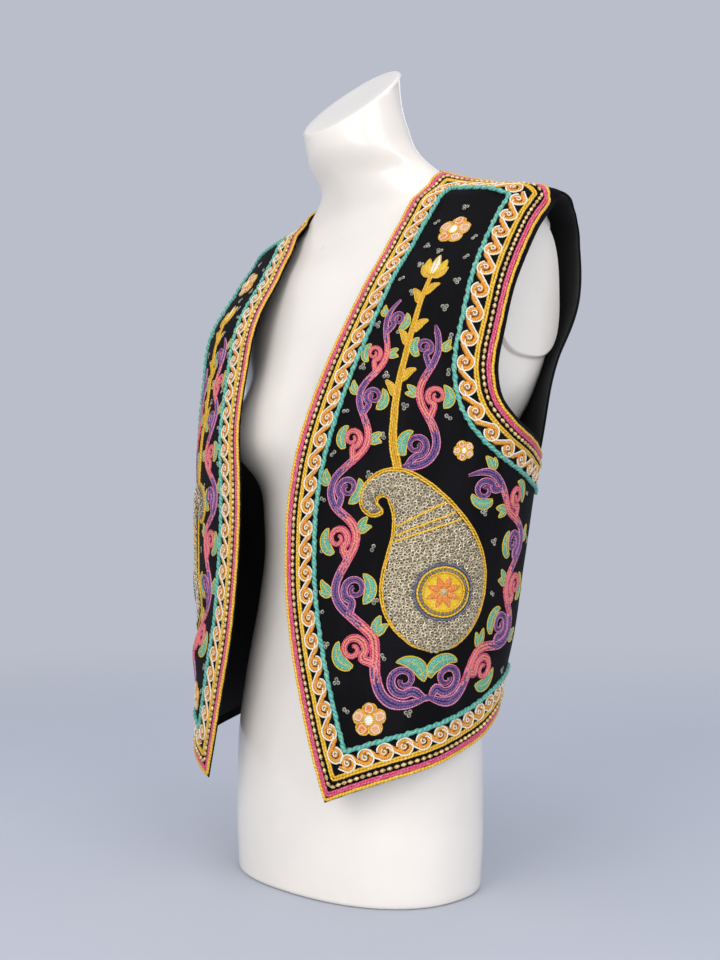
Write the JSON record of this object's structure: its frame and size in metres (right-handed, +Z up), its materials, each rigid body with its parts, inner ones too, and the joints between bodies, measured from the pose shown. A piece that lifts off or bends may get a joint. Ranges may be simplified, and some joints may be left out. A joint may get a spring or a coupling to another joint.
{
  "type": "embroidered vest on a dress form",
  "caption": "Open-fronted sleeveless velvet vest with pointed hems and an embroidered border, worn by a limbless dress form.",
  "frame": {"origin": "middle of the dress form's flat base, on the surface that it stands on", "axes": "+Z up, the front faces -Y, the wearer's left is +X"},
  "size_m": [0.4316, 0.2889, 0.8353],
  "materials": {
    "form_gloss": "smooth white gloss",
    "velvet": "black velvet with metal-thread, bead and sequin embroidery",
    "lining": "plain black cotton"
  },
  "bodies": {
    "root": {"form": "form_gloss", "arm_plate_left": "form_gloss", "arm_plate_right": "form_gloss", "front_left": "velvet", "front_right": "velvet", "back": "velvet", "lining_front_left": "lining", "lining_front_right": "lining", "lining_back": "lining"}
  },
  "joints": []
}
